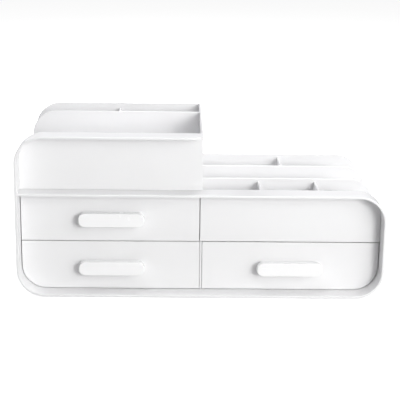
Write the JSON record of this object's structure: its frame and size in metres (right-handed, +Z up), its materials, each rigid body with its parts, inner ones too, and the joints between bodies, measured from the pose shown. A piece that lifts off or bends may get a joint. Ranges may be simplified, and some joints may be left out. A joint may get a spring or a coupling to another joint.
{
  "type": "desk organizer",
  "caption": "White moulded desk organizer: an L-shaped rounded housing with sliding drawers, bar pulls, a tall open bin and a low divided open bin.",
  "frame": {"origin": "under the middle of the footprint, on the surface that the feet stand on", "axes": "+X to the right along the width, the front faces -Y, +Z up"},
  "size_m": [0.37, 0.19, 0.166],
  "materials": {
    "white_housing": "fine satin moulded white plastic",
    "white_drawer": "fine satin moulded white plastic",
    "white_pull": "smooth semi-gloss white plastic",
    "silicone": "matte translucent-grey silicone",
    "screw_steel": "zinc plated"
  },
  "bodies": {
    "housing": {"centre_partition": "white_housing", "foot_front_left": "silicone", "foot_front_right": "silicone", "foot_rear_left": "silicone", "foot_rear_right": "silicone", "housing_shell": "white_housing", "left_deck": "white_housing", "rear_cover": "white_housing", "rear_cover_screws": "screw_steel", "right_bin_floor": "white_housing", "right_cross_divider_back": "white_housing", "right_cross_divider_left": "white_housing", "right_cross_divider_right": "white_housing", "right_front_panel": "white_housing", "right_row_divider_back": "white_housing", "right_row_divider_front": "white_housing", "tall_cross_divider": "white_housing", "tall_front_panel": "white_housing", "tall_row_divider": "white_housing", "tall_side_wall": "white_housing"},
    "drawer_upper_left_body": {"drawer_upper_left": "white_drawer", "pull_upper_left": "white_pull", "pull_screws_upper_left": "screw_steel"},
    "drawer_lower_left_body": {"drawer_lower_left": "white_drawer", "pull_lower_left": "white_pull", "pull_screws_lower_left": "screw_steel"},
    "drawer_lower_right_body": {"drawer_lower_right": "white_drawer", "pull_lower_right": "white_pull", "pull_screws_lower_right": "screw_steel"}
  },
  "joints": [
    {"name": "drawer_upper_left_slide", "type": "slide", "parent": "housing", "child": "drawer_upper_left_body", "axis": [0, -1, 0], "range_m": [0, 0.12]},
    {"name": "drawer_lower_left_slide", "type": "slide", "parent": "housing", "child": "drawer_lower_left_body", "axis": [0, -1, 0], "range_m": [0, 0.12]},
    {"name": "drawer_lower_right_slide", "type": "slide", "parent": "housing", "child": "drawer_lower_right_body", "axis": [0, -1, 0], "range_m": [0, 0.12]}
  ]
}
